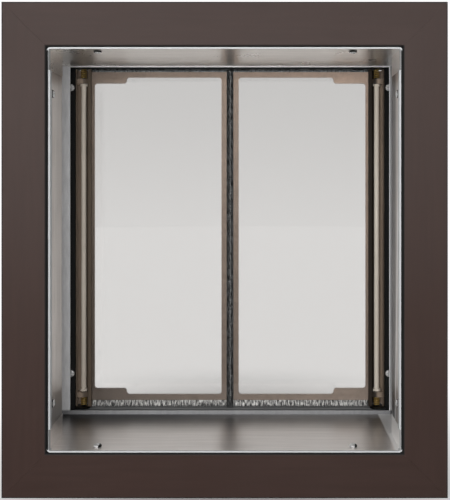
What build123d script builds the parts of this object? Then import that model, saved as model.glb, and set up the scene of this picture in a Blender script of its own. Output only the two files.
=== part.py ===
from build123d import *
import math
import os

# Two-leaf pet door for a wall: mitred trim frames, a sheet sleeve between them,
# and two sprung leaves that swing both ways at the sleeve's far end.
# Frame: X across, Y through the wall (front face at -Y), Z up, Z = 0 at the bottom edge.
os.makedirs("parts", exist_ok=True)

# Overall size
WIDTH = 446.0
HEIGHT = 496.0
DEPTH = 144.0

# Trim extrusions
FACE = 45.2
WALL = 2.5
LIP = 12.0
FRONT_LEG = 28.0
EDGE_R = 1.2
INNER_R = 2.4
MITRE_GAP = 0.1
SET_CLEAR = 0.2

# Corner keys, and the slot they slide in
KEY_W = 15.0
KEY_T = 3.2
KEY_LEG = 34.0
KEY_CLEAR = 0.2
RIB = 1.6
RIB_LIP = 2.6

# Sleeve sheets
SHEET = 1.6
BEND_R = 1.4
SLEEVE_D = 1.8
FLANGE_H = 22.5
SIDE_D = 51.0
HEM_D = 6.5
POCKET = 18.8
LINER_FLANGE = 13.0

# Leaves, each two panes on a spacer
PANE_T = 3.0
PANE_EDGE = 0.4
SPACER_T = 3.0
LEAF_T = 2 * PANE_T + SPACER_T
SPACER_W = 6.0
SPACER_HINGE_W = 3.6
MEETING_X = 4.0
BLOCK_L = 37.5
BLOCK_H = 7.0
LIGHT_R = 3.4

# Pile seals
PILE_BACK = 0.8
PILE_BACK_W = 6.4
PILE_W = 5.0
PILE_TIP_W = 3.4
PILE_TOP = 2.6
PILE_BOTTOM = 9.0
PILE_CLEAR = 0.6

# Hinges
BARREL_R = 9.2
BARREL_BORE_R = 7.0
WINDOW_W = 12.6
GRIP_T = 1.8
GRIP_L = 1.0
GRIP_ROOT = 3.0
HINGE_SET = 3.5
SPRING_ROOM = 11.2
BRIDGE = 5.6
END_GAP = 1.0
ROD_R = 3.0
ROD_FLANGE_R = 4.6
ROD_FLANGE_H = 2.2
PIN_R = 1.75
PIN_GRIP = 13.0
BORE_END = 2.0
RUN_CLEAR = 0.05
MOVE_CLEAR = 0.4
PIVOT_T = 2.0
PIVOT_R = 8.4
WIRE_R = 0.75
SPRING_TURNS = 5
SPRING_SIDES = 10

# Rear frame and ring
REAR_BOX = 25.5
REAR_FLANGE = 19.0
JAMB_CLEAR = 0.5
RING_T = 1.5
RING_STAND = 6.0
RING_SOCKET = 15.0
RING_REVEAL = 3.4
RING_DROP = 1.0
RING_EDGE = 0.4
SILL_RISE = 4.8
HEAD_DROP = 0.2

# Fasteners
SCREW_R = 2.0
HEAD_R = 4.1
HEAD_H = 2.6
HEAD_RIM = 1.0
SCREW_L = 8.0
SCREW_D = 14.0
SLEEVE_SCREW_SIDE = 46.2
SLEEVE_SCREW_END = 22.6
JAMB_SCREW_IN = 4.1
JAMB_SCREW_LOW = 40.6
JAMB_SCREW_HIGH = 24.0
NUT_W = 12.0
NUT_L = 24.0
RIVET_R = 2.9
RIVET_H = 1.3
RIVET_END = 98.0
RIVET_IN = 16.0
WALL_HOLE_R = 2.5
WALL_HOLE_END = 98.0

# Derived places
FRONT_IN_X = WIDTH / 2 - FACE
SLEEVE_X = FRONT_IN_X - SHEET
FLOOR_Z = FACE + SHEET
CEILING_Z = HEIGHT - FACE - SHEET
HINGE_X = SLEEVE_X - LEAF_T / 2 - SET_CLEAR
JAMB_X = HINGE_X + BARREL_R + JAMB_CLEAR
REAR_FACE = WIDTH / 2 - JAMB_X
SILL_Z = FLOOR_Z + SILL_RISE
HEAD_Z = CEILING_Z + HEAD_DROP
FLANGE_D = DEPTH - REAR_BOX
RING_D = FLANGE_D - RING_STAND - RING_T
HINGE_D = FLANGE_D + HINGE_SET
LINER_X = FRONT_IN_X + POCKET - SHEET
RING_X = JAMB_X + RING_REVEAL
LEAF_TOP = CEILING_Z - HEAD_H - MOVE_CLEAR - PILE_TOP
LEAF_BOTTOM = SILL_Z + PILE_CLEAR + PILE_BOTTOM
LEAF_X = HINGE_X - BARREL_R - SET_CLEAR
BARREL_BOTTOM = SILL_Z + PIVOT_T + END_GAP
BARREL_TOP = HEAD_Z - PIVOT_T - END_GAP
MID_Z = HEIGHT / 2
SIDE_LOW = FACE + FLANGE_H + KEY_CLEAR
SIDE_HIGH = HEIGHT - SIDE_LOW
SIDES = (("left", -1), ("right", 1))


def yd(depth):
    """Y of a depth measured from the front face."""
    return depth - DEPTH / 2


def face_plane(depth):
    """Upright plane at a depth: sketch in X and Z; a negative extrusion goes deeper."""
    return Plane(origin=(0, yd(depth), 0), x_dir=(1, 0, 0), z_dir=(0, -1, 0))


def rail_plane(rail, depth, inward_y):
    """Section plane of a frame rail: x from its outer edge inward, y into the frame's depth."""
    x_dir = {"bottom": (0, 0, 1), "top": (0, 0, -1), "left": (1, 0, 0), "right": (-1, 0, 0)}[rail]
    x = {"bottom": 0, "top": 0, "left": -WIDTH / 2, "right": WIDTH / 2}[rail]
    z = {"bottom": 0, "top": HEIGHT, "left": MID_Z, "right": MID_Z}[rail]
    normal = Vector(x_dir).cross(Vector(0, inward_y, 0))
    return Plane(origin=(x, yd(depth), z), x_dir=x_dir, z_dir=normal)


def mitre_plane(outer, inner, middle):
    """Plane along Y through a corner's outer and inner points, facing the rail's middle."""
    normal = Vector(inner[1] - outer[1], 0, outer[0] - inner[0]).normalized()
    if normal.dot(Vector(middle[0] - outer[0], 0, middle[1] - outer[1])) < 0:
        normal = normal * -1
    return Plane(origin=Vector(outer[0], 0, outer[1]) + normal * (MITRE_GAP / 2), z_dir=normal)


def mitres(rail, outer, inner):
    """Both end planes of a rail; outer and inner are (left, bottom, right, top) rectangles."""
    ends, middle = {
        "bottom": (((0, 1), (2, 1)), (0, inner[1])),
        "top": (((0, 3), (2, 3)), (0, inner[3])),
        "left": (((0, 1), (0, 3)), (inner[0], MID_Z)),
        "right": (((2, 1), (2, 3)), (inner[2], MID_Z)),
    }[rail]
    return [mitre_plane((outer[i], outer[j]), (inner[i], inner[j]), middle) for i, j in ends]


def key_slot(face):
    """Points of the T-slot on a face plate's back, from its inner rib to its outer rib."""
    lo = face / 2 - KEY_W / 2 - KEY_CLEAR
    hi = face / 2 + KEY_W / 2 + KEY_CLEAR
    top = WALL + KEY_T + KEY_CLEAR
    cap = top + RIB
    inner = [(hi + RIB, WALL), (hi + RIB, cap), (hi - RIB_LIP, cap)]
    inner += [(hi - RIB_LIP, top), (hi, top), (hi, WALL)]
    outer = [(lo, WALL), (lo, top), (lo + RIB_LIP, top)]
    outer += [(lo + RIB_LIP, cap), (lo - RIB, cap), (lo - RIB, WALL)]
    return inner + outer


# Front trim frame: four mitred rails of one extrusion, with the sleeve's screw holes in their legs
front_outer = (-WIDTH / 2, 0, WIDTH / 2, HEIGHT)
front_inner = (-FRONT_IN_X, FACE, FRONT_IN_X, HEIGHT - FACE)
front_section = [(0, 0), (FACE, 0), (FACE, FRONT_LEG), (FACE - WALL, FRONT_LEG), (FACE - WALL, WALL)]
front_section += key_slot(FACE) + [(WALL, WALL), (WALL, LIP), (0, LIP)]
floor_screws = [
    Plane(origin=(x, yd(SCREW_D), z), z_dir=(0, 0, up))
    for x in (SLEEVE_SCREW_SIDE - SLEEVE_X, SLEEVE_X - SLEEVE_SCREW_SIDE)
    for z, up in ((FLOOR_Z, 1), (CEILING_Z, -1))
]
side_screws = [
    Plane(origin=(x, yd(SCREW_D), z), z_dir=(-math.copysign(1, x), 0, 0))
    for x in (-SLEEVE_X, SLEEVE_X)
    for z in (SIDE_LOW + SLEEVE_SCREW_END, SIDE_HIGH - SLEEVE_SCREW_END)
]
sleeve_screw_places = floor_screws + side_screws
for rail in ("top", "bottom", "left", "right"):
    with BuildPart() as front_rail:
        with BuildSketch(rail_plane(rail, 0, 1)) as section:
            with BuildLine():
                Polyline(*front_section, close=True)
            make_face()
            fillet(section.vertices().sort_by_distance((0, 0, 0))[0], EDGE_R)
            fillet(section.vertices().sort_by_distance((FACE, 0, 0))[0], INNER_R)
        extrude(amount=max(WIDTH, HEIGHT) / 2, both=True)
        for cut in mitres(rail, front_outer, front_inner):
            split(bisect_by=cut, keep=Keep.TOP)
        with Locations(*sleeve_screw_places):
            Cylinder(SCREW_R + RUN_CLEAR, 2 * SCREW_L, mode=Mode.SUBTRACT)
    front_rail.part.label = "front_rail_" + rail
    export_step(front_rail.part, "parts/front_rail_" + rail + ".step")


# Rear frame: four mitred rails, each with a forward leg and a flange that faces the sleeve
rear_inner = (-JAMB_X, REAR_FACE, JAMB_X, HEIGHT - REAR_FACE)
rear_section = [(0, 0), (REAR_FACE, 0), (REAR_FACE, REAR_BOX), (REAR_FACE - REAR_FLANGE, REAR_BOX)]
rear_section += [(REAR_FACE - REAR_FLANGE, REAR_BOX - WALL), (REAR_FACE - WALL, REAR_BOX - WALL)]
rear_section += [(REAR_FACE - WALL, WALL)] + key_slot(REAR_FACE) + [(WALL, WALL), (WALL, LIP), (0, LIP)]
jamb_screw_places = [
    Plane(origin=(s * (JAMB_X + JAMB_SCREW_IN), yd(FLANGE_D), z), z_dir=(0, -1, 0))
    for s in (-1, 1)
    for z in (SILL_Z + JAMB_SCREW_LOW, HEAD_Z - JAMB_SCREW_HIGH)
]
wall_hole_places = [
    Plane(origin=(s * (WIDTH / 2 - REAR_FACE / 2), yd(DEPTH), z), z_dir=(0, 1, 0))
    for s in (-1, 1)
    for z in (WALL_HOLE_END, HEIGHT - WALL_HOLE_END)
]
for rail in ("top", "bottom", "left", "right"):
    with BuildPart() as rear_rail:
        with BuildSketch(rail_plane(rail, DEPTH, -1)) as section:
            with BuildLine():
                Polyline(*rear_section, close=True)
            make_face()
            fillet(section.vertices().sort_by_distance((0, 0, 0))[0], EDGE_R)
            fillet(section.vertices().sort_by_distance((REAR_FACE, 0, 0))[0], INNER_R)
        extrude(amount=max(WIDTH, HEIGHT) / 2, both=True)
        for cut in mitres(rail, front_outer, rear_inner):
            split(bisect_by=cut, keep=Keep.TOP)
        if rail in ("left", "right"):
            with Locations(*jamb_screw_places):
                Cylinder(SCREW_R + RUN_CLEAR, 2 * (SCREW_L + BORE_END), mode=Mode.SUBTRACT)
            side = -1 if rail == "left" else 1
            with Locations(*[place for place in wall_hole_places if place.origin.X * side > 0]):
                Hole(WALL_HOLE_R, depth=2 * WALL)
    rear_rail.part.label = "rear_rail_" + rail
    export_step(rear_rail.part, "parts/rear_rail_" + rail + ".step")


# Corner keys: flat angles that lie in the slots behind the mitres and hold them shut
for end, face, depth, deeper in (("front", FACE, WALL, -1), ("rear", REAR_FACE, DEPTH - WALL, 1)):
    with BuildPart() as corner_keys:
        with BuildSketch(face_plane(depth)) as key:
            for sx in (-1, 1):
                for z, sz in ((0, 1), (HEIGHT, -1)):
                    near = face / 2 - KEY_W / 2
                    a = near + KEY_W
                    b = near + KEY_LEG
                    steps = [(near, near), (b, near), (b, a), (a, a), (a, b), (near, b)]
                    with BuildLine():
                        Polyline(*[(sx * (WIDTH / 2 - u), z + sz * v) for u, v in steps], close=True)
                    make_face()
        extrude(amount=deeper * KEY_T)
    corner_keys.part.label = end + "_corner_keys"
    export_step(corner_keys.part, "parts/" + end + "_corner_keys.step")


# Sleeve floor and ceiling: bent trays, flanged in front and wider behind to floor the hinge pockets
for name, inside, up in (("floor", FLOOR_Z, 1), ("ceiling", CEILING_Z, -1)):
    under = inside - up * SHEET
    rim = under + up * FLANGE_H
    with BuildPart() as tray:
        with BuildSketch(face_plane(SLEEVE_D)) as section:
            with BuildLine():
                Polyline(
                    (-FRONT_IN_X, rim), (-FRONT_IN_X, under), (FRONT_IN_X, under), (FRONT_IN_X, rim),
                    (SLEEVE_X, rim), (SLEEVE_X, inside), (-SLEEVE_X, inside), (-SLEEVE_X, rim), close=True,
                )
            make_face()
            fillet([v for v in section.vertices() if abs(v.Y - under) < 1e-6], BEND_R + SHEET)
            fillet([v for v in section.vertices() if abs(v.Y - inside) < 1e-6], BEND_R)
        extrude(amount=SLEEVE_D - SIDE_D)
        with BuildSketch(face_plane(SIDE_D)):
            with Locations((0, (inside + under) / 2)):
                Rectangle(2 * LINER_X, SHEET)
        extrude(amount=SIDE_D - RING_D)
        with Locations(*floor_screws):
            Cylinder(SCREW_R + MOVE_CLEAR / 2, 2 * SCREW_L, mode=Mode.SUBTRACT)
    tray.part.label = "sleeve_" + name
    export_step(tray.part, "parts/sleeve_" + name + ".step")


# Sleeve sides: sheets with a hemmed front edge and a rear flange turned out to the hinge pocket
for name, s in SIDES:
    with BuildPart() as side_sheet:
        with BuildSketch(Plane.XY.offset(SIDE_LOW)) as section:
            hem = SLEEVE_X - SHEET
            with BuildLine():
                Polyline(
                    (s * FRONT_IN_X, yd(SLEEVE_D)), (s * FRONT_IN_X, yd(SIDE_D - SHEET)),
                    (s * LINER_X, yd(SIDE_D - SHEET)), (s * LINER_X, yd(SIDE_D)),
                    (s * SLEEVE_X, yd(SIDE_D)), (s * SLEEVE_X, yd(SLEEVE_D + HEM_D)),
                    (s * hem, yd(SLEEVE_D + HEM_D)), (s * hem, yd(SLEEVE_D)), close=True,
                )
            make_face()
            fillet(section.vertices().sort_by_distance((s * FRONT_IN_X, yd(SLEEVE_D), 0))[0], 0.9 * SHEET)
            fillet(section.vertices().sort_by_distance((s * hem, yd(SLEEVE_D), 0))[0], 0.9 * SHEET)
            fillet(section.vertices().sort_by_distance((s * SLEEVE_X, yd(SIDE_D), 0))[0], BEND_R + SHEET)
            fillet(section.vertices().sort_by_distance((s * FRONT_IN_X, yd(SIDE_D - SHEET), 0))[0], BEND_R)
        extrude(amount=SIDE_HIGH - SIDE_LOW)
        with Locations(*side_screws):
            Cylinder(SCREW_R + MOVE_CLEAR / 2, 2 * SCREW_L, mode=Mode.SUBTRACT)
    side_sheet.part.label = "sleeve_side_" + name
    export_step(side_sheet.part, "parts/sleeve_side_" + name + ".step")


# Pocket liners: channels that close the hinge pockets and clasp the edges of floor and ceiling
for name, s in SIDES:
    low = FACE
    high = HEIGHT - FACE
    reach = LINER_X + SHEET - LINER_FLANGE
    with BuildPart() as liner:
        with BuildSketch(face_plane(SIDE_D - SHEET)) as section:
            with BuildLine():
                Polyline(
                    (s * reach, low), (s * LINER_X, low), (s * LINER_X, high), (s * reach, high),
                    (s * reach, high + SHEET), (s * (LINER_X + SHEET), high + SHEET),
                    (s * (LINER_X + SHEET), low - SHEET), (s * reach, low - SHEET), close=True,
                )
            make_face()
            fillet([v for v in section.vertices() if abs(abs(v.X) - LINER_X - SHEET) < 1e-6], SHEET)
        extrude(amount=SIDE_D - SHEET - RING_D)
    liner.part.label = "pocket_liner_" + name
    export_step(liner.part, "parts/pocket_liner_" + name + ".step")


# Ring: four mitred aluminium sections that take the sleeve's end and frame the leaves with a pale line
ring_leg_x = LINER_X + SHEET
ring_low = REAR_FACE - RING_EDGE - RING_T
ring_outer = (-ring_leg_x - RING_T, ring_low, ring_leg_x + RING_T, HEIGHT - ring_low)
ring_inner = (-RING_X, SILL_Z - PILE_CLEAR, RING_X, CEILING_Z - RING_DROP)
ring_width = {
    "bottom": ring_inner[1] - ring_outer[1],
    "top": ring_outer[3] - ring_inner[3],
    "left": ring_inner[0] - ring_outer[0],
    "right": ring_outer[2] - ring_inner[2],
}
ring_edge = {"bottom": ring_outer[1], "top": HEIGHT - ring_outer[3], "left": WIDTH / 2 + ring_outer[0]}
ring_edge["right"] = ring_edge["left"]
for rail in ("top", "bottom", "left", "right"):
    edge = ring_edge[rail]
    near = RING_D - RING_SOCKET
    with BuildPart() as ring:
        with BuildSketch(rail_plane(rail, 0, 1)):
            with BuildLine():
                Polyline(
                    (edge, near), (edge + RING_T, near), (edge + RING_T, RING_D),
                    (edge + ring_width[rail], RING_D), (edge + ring_width[rail], RING_D + RING_T),
                    (edge + RING_T, RING_D + RING_T), (edge + RING_T, FLANGE_D), (edge, FLANGE_D), close=True,
                )
            make_face()
        extrude(amount=max(WIDTH, HEIGHT) / 2, both=True)
        for cut in mitres(rail, ring_outer, ring_inner):
            split(bisect_by=cut, keep=Keep.TOP)
    ring.part.label = "ring_" + rail
    export_step(ring.part, "parts/ring_" + rail + ".step")


# Sill and head bars: they bring the rear opening in to the leaves' height and carry the pivots
for name, near, far in (("sill", SILL_Z, REAR_FACE), ("head", HEAD_Z, HEIGHT - REAR_FACE)):
    with BuildPart() as bar:
        with BuildSketch(face_plane(FLANGE_D)):
            with Locations((0, (near + far) / 2)):
                Rectangle(2 * JAMB_X, abs(near - far))
        extrude(amount=-REAR_BOX)
        outer = bar.edges().filter_by(Axis.X).group_by(Axis.Y)[-1]
        chamfer([e for e in outer if abs(e.center().Z - near) < 1e-6], EDGE_R)
    bar.part.label = name + "_bar"
    export_step(bar.part, "parts/" + name + "_bar.step")


# Pan-head screw, with few faces: the pattern for the sleeve and jamb screws
with BuildPart() as pan_screw:
    with BuildSketch(Plane.XY):
        RegularPolygon(HEAD_R, 10)
    extrude(amount=HEAD_RIM)
    with BuildSketch(Plane.XY.offset(HEAD_RIM)):
        RegularPolygon(HEAD_R, 10)
    extrude(amount=HEAD_H - HEAD_RIM, taper=45)
    with BuildSketch(Plane.XY):
        RegularPolygon(SCREW_R, 6)
    extrude(amount=-SCREW_L)
for name, places in (("sleeve_screws", sleeve_screw_places), ("jamb_screws", jamb_screw_places)):
    with BuildPart() as screws:
        with Locations(*places):
            add(pan_screw.part)
    screws.part.label = name
    export_step(screws.part, "parts/" + name + ".step")


# Nut plates behind the rear flanges, which the jamb screws draw up
with BuildPart() as nut_plates:
    for place in jamb_screw_places:
        s = math.copysign(1, place.origin.X)
        with BuildSketch(face_plane(FLANGE_D + WALL)):
            with Locations((s * (JAMB_X + WALL + KEY_CLEAR + NUT_W / 2), place.origin.Z)):
                Rectangle(NUT_W, NUT_L)
            with Locations((place.origin.X, place.origin.Z)):
                RegularPolygon(SCREW_R + RUN_CLEAR, 8, major_radius=False, mode=Mode.SUBTRACT)
        extrude(amount=-SHEET)
nut_plates.part.label = "jamb_nut_plates"
export_step(nut_plates.part, "parts/jamb_nut_plates.step")


# Rivets: domed heads outside that hold ring, liners and trays together
rivet_d = RING_D - RING_SOCKET / 2
with BuildPart() as rivet:
    with BuildSketch(Plane.XY):
        RegularPolygon(RIVET_R, 8)
    extrude(amount=RIVET_H, taper=45)
rivet_places = [
    Plane(origin=(s * (ring_leg_x + RING_T), yd(rivet_d), z), z_dir=(s, 0, 0))
    for s in (-1, 1)
    for z in (RIVET_END, MID_Z, HEIGHT - RIVET_END)
]
rivet_places += [
    Plane(origin=(s * (LINER_X - LINER_FLANGE / 2 + SHEET), yd(SIDE_D + RIVET_IN), z), z_dir=(0, 0, up))
    for s in (-1, 1)
    for z, up in ((FACE - SHEET, -1), (HEIGHT - FACE + SHEET, 1))
]
with BuildPart() as rivets:
    with Locations(*rivet_places):
        add(rivet.part)
rivets.part.label = "sleeve_rivets"
export_step(rivets.part, "parts/sleeve_rivets.step")


# Pivots: steel plates welded to the bars, each with the pin that a leaf turns on
for name, s in SIDES:
    for end, base, up in (("bottom", SILL_Z, 1), ("top", HEAD_Z, -1)):
        pin_l = PIVOT_T + END_GAP + SPRING_ROOM + BRIDGE + PIN_GRIP
        seat = Plane(origin=(s * HINGE_X, yd(HINGE_D), base), x_dir=(s, 0, 0), z_dir=(0, 0, up))
        with BuildPart() as pivot:
            with BuildSketch(seat) as plate:
                Rectangle(2 * PIVOT_R, 2 * PIVOT_R)
                chamfer(plate.vertices().group_by(Axis.X)[0], PIVOT_R / 2)
            extrude(amount=PIVOT_T)
            with BuildSketch(seat):
                Circle(PIN_R)
            extrude(amount=pin_l)
        pivot.part.label = "pivot_" + end + "_" + name
        export_step(pivot.part, "parts/pivot_" + end + "_" + name + ".step")


# Hinge springs: brass coils round the pins, standing on the pivot plates
spring_r = PIN_R + WIRE_R + MOVE_CLEAR
coil = END_GAP + SPRING_ROOM - MOVE_CLEAR - 2 * WIRE_R
for name, s in SIDES:
    for end, base, up in (("bottom", SILL_Z + PIVOT_T, 1), ("top", HEAD_Z - PIVOT_T, -1)):
        turn = 2 * math.pi / SPRING_SIDES
        steps = SPRING_TURNS * SPRING_SIDES
        path = [
            (
                s * HINGE_X + spring_r * math.cos(i * turn),
                yd(HINGE_D) + spring_r * math.sin(i * turn),
                base + up * (WIRE_R + coil * i / steps),
            )
            for i in range(steps + 1)
        ]
        with BuildPart() as spring:
            with BuildLine() as wire:
                Polyline(*path)
            with BuildSketch(Plane(origin=wire.line @ 0, z_dir=wire.line % 0)):
                RegularPolygon(WIRE_R, 4)
            sweep(path=wire.line, transition=Transition.RIGHT)
        spring.part.label = "spring_" + end + "_" + name
        export_step(spring.part, "parts/spring_" + end + "_" + name + ".step")


# Leaf panes: clear sheets in front of and behind the spacer
for name, s in SIDES:
    for end, depth in (("front", HINGE_D - LEAF_T / 2), ("rear", HINGE_D + LEAF_T / 2 - PANE_T)):
        with BuildPart() as pane:
            with BuildSketch(face_plane(depth)):
                with Locations((s * (LEAF_X + MEETING_X) / 2, (LEAF_TOP + LEAF_BOTTOM) / 2)):
                    Rectangle(LEAF_X - MEETING_X, LEAF_TOP - LEAF_BOTTOM)
            extrude(amount=-PANE_T)
            chamfer(pane.faces().sort_by(Axis.Y)[0 if end == "front" else -1].edges(), PANE_EDGE)
        pane.part.label = "pane_" + end + "_" + name
        export_step(pane.part, "parts/pane_" + end + "_" + name + ".step")


# Spacers: tan frames between the panes, with long corner blocks on the hinge side
for name, s in SIDES:
    in_x = LEAF_X - SPACER_HINGE_W
    block_x = in_x - BLOCK_L
    light_x = MEETING_X + SPACER_W
    low = LEAF_BOTTOM + SPACER_W
    high = LEAF_TOP - SPACER_W
    with BuildPart() as spacer:
        with BuildSketch(face_plane(HINGE_D - SPACER_T / 2)) as frame:
            with Locations((s * (LEAF_X + MEETING_X) / 2, (LEAF_TOP + LEAF_BOTTOM) / 2)):
                Rectangle(LEAF_X - MEETING_X, LEAF_TOP - LEAF_BOTTOM)
            with BuildLine():
                Polyline(
                    (s * light_x, low), (s * block_x, low), (s * block_x, low + BLOCK_H),
                    (s * in_x, low + BLOCK_H), (s * in_x, high - BLOCK_H), (s * block_x, high - BLOCK_H),
                    (s * block_x, high), (s * light_x, high), close=True,
                )
            make_face(mode=Mode.SUBTRACT)
            fillet([v for v in frame.vertices() if low - 1 < v.Y < high + 1], LIGHT_R)
        extrude(amount=-SPACER_T)
    spacer.part.label = "spacer_" + name
    export_step(spacer.part, "parts/spacer_" + name + ".step")


# Hinge barrels: round stiles that grip the leaf's edge, open in front, with bridges that seat the rod
for name, s in SIDES:
    axis_plane = Plane(origin=(s * HINGE_X, yd(HINGE_D), 0), x_dir=(s, 0, 0), z_dir=(0, 0, 1))
    low = BARREL_BOTTOM + SPRING_ROOM
    high = BARREL_TOP - SPRING_ROOM
    rooms = ((BARREL_BOTTOM, low), (low + BRIDGE, high - BRIDGE), (high, BARREL_TOP))
    with BuildPart() as barrel:
        with BuildSketch(axis_plane.offset(BARREL_BOTTOM)):
            Circle(BARREL_R)
            with Locations((LEAF_X - HINGE_X + (GRIP_ROOT - GRIP_L) / 2, 0)):
                Rectangle(GRIP_L + GRIP_ROOT, LEAF_T + 2 * GRIP_T)
            with Locations((LEAF_X - HINGE_X - GRIP_L / 2, 0)):
                Rectangle(GRIP_L, LEAF_T, mode=Mode.SUBTRACT)
        extrude(amount=BARREL_TOP - BARREL_BOTTOM)
        for z0, z1 in rooms:
            with BuildSketch(axis_plane.offset(z0)):
                Circle(BARREL_BORE_R)
                with Locations((0, -s * BARREL_R)):
                    Rectangle(WINDOW_W, 2 * BARREL_R)
            extrude(amount=z1 - z0, mode=Mode.SUBTRACT)
        with BuildSketch(axis_plane.offset(BARREL_BOTTOM)):
            Circle(PIN_R + MOVE_CLEAR)
        extrude(amount=BARREL_TOP - BARREL_BOTTOM, mode=Mode.SUBTRACT)
    barrel.part.label = "barrel_" + name
    export_step(barrel.part, "parts/barrel_" + name + ".step")


# Hinge rods: nylon rods held between the barrel's bridges, bored at both ends to run on the pins
for name, s in SIDES:
    axis_plane = Plane(origin=(s * HINGE_X, yd(HINGE_D), 0), x_dir=(s, 0, 0), z_dir=(0, 0, 1))
    low = BARREL_BOTTOM + SPRING_ROOM + BRIDGE
    high = BARREL_TOP - SPRING_ROOM - BRIDGE
    with BuildPart() as rod:
        with BuildSketch(axis_plane.offset(low)):
            Circle(ROD_R)
        extrude(amount=high - low)
        for z in (low, high - ROD_FLANGE_H):
            with BuildSketch(axis_plane.offset(z)):
                RegularPolygon(ROD_FLANGE_R, 8, rotation=22.5)
            extrude(amount=ROD_FLANGE_H)
        for z in (low, high - PIN_GRIP - BORE_END):
            with BuildSketch(axis_plane.offset(z)):
                Circle(PIN_R + RUN_CLEAR)
            extrude(amount=PIN_GRIP + BORE_END, mode=Mode.SUBTRACT)
    rod.part.label = "rod_" + name
    export_step(rod.part, "parts/rod_" + name + ".step")


# Pile seals: brush strips on the top, bottom and meeting edges of each leaf
for name, s in SIDES:
    across = LEAF_X - GRIP_L - SET_CLEAR - MEETING_X
    upright = LEAF_TOP - LEAF_BOTTOM + PILE_BOTTOM + PILE_TOP
    top = Plane(origin=(s * MEETING_X, yd(HINGE_D), LEAF_TOP), x_dir=(0, 1, 0), z_dir=(s, 0, 0))
    bottom = Plane(origin=(s * MEETING_X, yd(HINGE_D), LEAF_BOTTOM), x_dir=(0, 1, 0), z_dir=(s, 0, 0))
    meeting = Plane(origin=(s * MEETING_X, yd(HINGE_D), LEAF_BOTTOM - PILE_BOTTOM), x_dir=(0, 1, 0))
    for end, seat, way, tall, length in (
        ("top", top, s, PILE_TOP, across),
        ("bottom", bottom, -s, PILE_BOTTOM, across),
        ("meeting", meeting, s, MEETING_X - MOVE_CLEAR, upright),
    ):
        half = [(PILE_BACK_W / 2, 0), (PILE_BACK_W / 2, PILE_BACK)]
        half += [(PILE_W / 2, PILE_BACK), (PILE_TIP_W / 2, tall)]
        outline = half + [(-u, v) for u, v in reversed(half)]
        with BuildPart() as pile:
            with BuildSketch(seat):
                with BuildLine():
                    Polyline(*[(u, way * v) for u, v in outline], close=True)
                make_face()
            extrude(amount=length)
        pile.part.label = "pile_" + end + "_" + name
        export_step(pile.part, "parts/pile_" + end + "_" + name + ".step")
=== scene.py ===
import math

import bmesh
import bpy
import numpy as np
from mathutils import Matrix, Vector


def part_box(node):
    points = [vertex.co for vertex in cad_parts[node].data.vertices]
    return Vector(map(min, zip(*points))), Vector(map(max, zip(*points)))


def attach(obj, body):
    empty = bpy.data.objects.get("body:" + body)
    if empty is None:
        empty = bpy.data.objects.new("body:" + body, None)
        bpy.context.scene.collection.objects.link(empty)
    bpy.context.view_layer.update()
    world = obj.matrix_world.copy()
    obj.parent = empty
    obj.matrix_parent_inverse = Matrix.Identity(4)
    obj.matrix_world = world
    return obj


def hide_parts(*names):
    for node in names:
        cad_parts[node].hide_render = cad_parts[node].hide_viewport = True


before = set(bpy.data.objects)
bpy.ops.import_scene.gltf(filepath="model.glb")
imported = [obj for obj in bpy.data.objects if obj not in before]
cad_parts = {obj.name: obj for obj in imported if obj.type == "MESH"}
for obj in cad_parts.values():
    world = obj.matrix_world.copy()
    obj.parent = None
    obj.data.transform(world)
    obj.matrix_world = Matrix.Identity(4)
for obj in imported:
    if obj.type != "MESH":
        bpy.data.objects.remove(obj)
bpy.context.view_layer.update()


# Front trim: four rails of one dark bronze aluminium extrusion, mitred and drawn together by hidden keys.
# The anodised satin finish keeps faint drawing lines along each rail and a soft, uneven sheen.
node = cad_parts
MM = 0.001


def grain_group():
    """Node group: noise on a stretched place, brought to the range between Low and High."""
    group = bpy.data.node_groups.new("drawn_grain", "ShaderNodeTree")
    for label, kind, value in (
        ("Place", "NodeSocketVector", (0, 0, 0)),
        ("Stretch", "NodeSocketVector", (1, 1, 1)),
        ("Fineness", "NodeSocketFloat", 100.0),
        ("Low", "NodeSocketFloat", 0.0),
        ("High", "NodeSocketFloat", 1.0),
    ):
        group.interface.new_socket(label, in_out="INPUT", socket_type=kind).default_value = value
    group.interface.new_socket("Value", in_out="OUTPUT", socket_type="NodeSocketFloat")
    come = group.nodes.new("NodeGroupInput")
    go = group.nodes.new("NodeGroupOutput")
    stretch = group.nodes.new("ShaderNodeVectorMath")
    stretch.operation = "MULTIPLY"
    noise = group.nodes.new("ShaderNodeTexNoise")
    noise.inputs["Detail"].default_value = 4.0
    noise.inputs["Roughness"].default_value = 0.6
    span = group.nodes.new("ShaderNodeMapRange")
    span.inputs["From Min"].default_value = 0.3
    span.inputs["From Max"].default_value = 0.7
    group.links.new(come.outputs["Place"], stretch.inputs[0])
    group.links.new(come.outputs["Stretch"], stretch.inputs[1])
    group.links.new(stretch.outputs[0], noise.inputs["Vector"])
    group.links.new(come.outputs["Fineness"], noise.inputs["Scale"])
    group.links.new(noise.outputs["Fac"], span.inputs["Value"])
    group.links.new(come.outputs["Low"], span.inputs["To Min"])
    group.links.new(come.outputs["High"], span.inputs["To Max"])
    group.links.new(span.outputs["Result"], go.inputs["Value"])
    return group


drawn_grain = grain_group()


def finish(name, metallic, roughness, colour=(0.5, 0.5, 0.5)):
    """New material with one Principled shader: returns material, tree, shader and the Object coordinates."""
    material = bpy.data.materials.new(name)
    material.use_nodes = True
    tree = material.node_tree
    shader = tree.nodes["Principled BSDF"]
    shader.inputs["Metallic"].default_value = metallic
    shader.inputs["Roughness"].default_value = roughness
    shader.inputs["Base Color"].default_value = (*colour, 1)
    return material, tree, shader, tree.nodes.new("ShaderNodeTexCoord").outputs["Object"]


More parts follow.
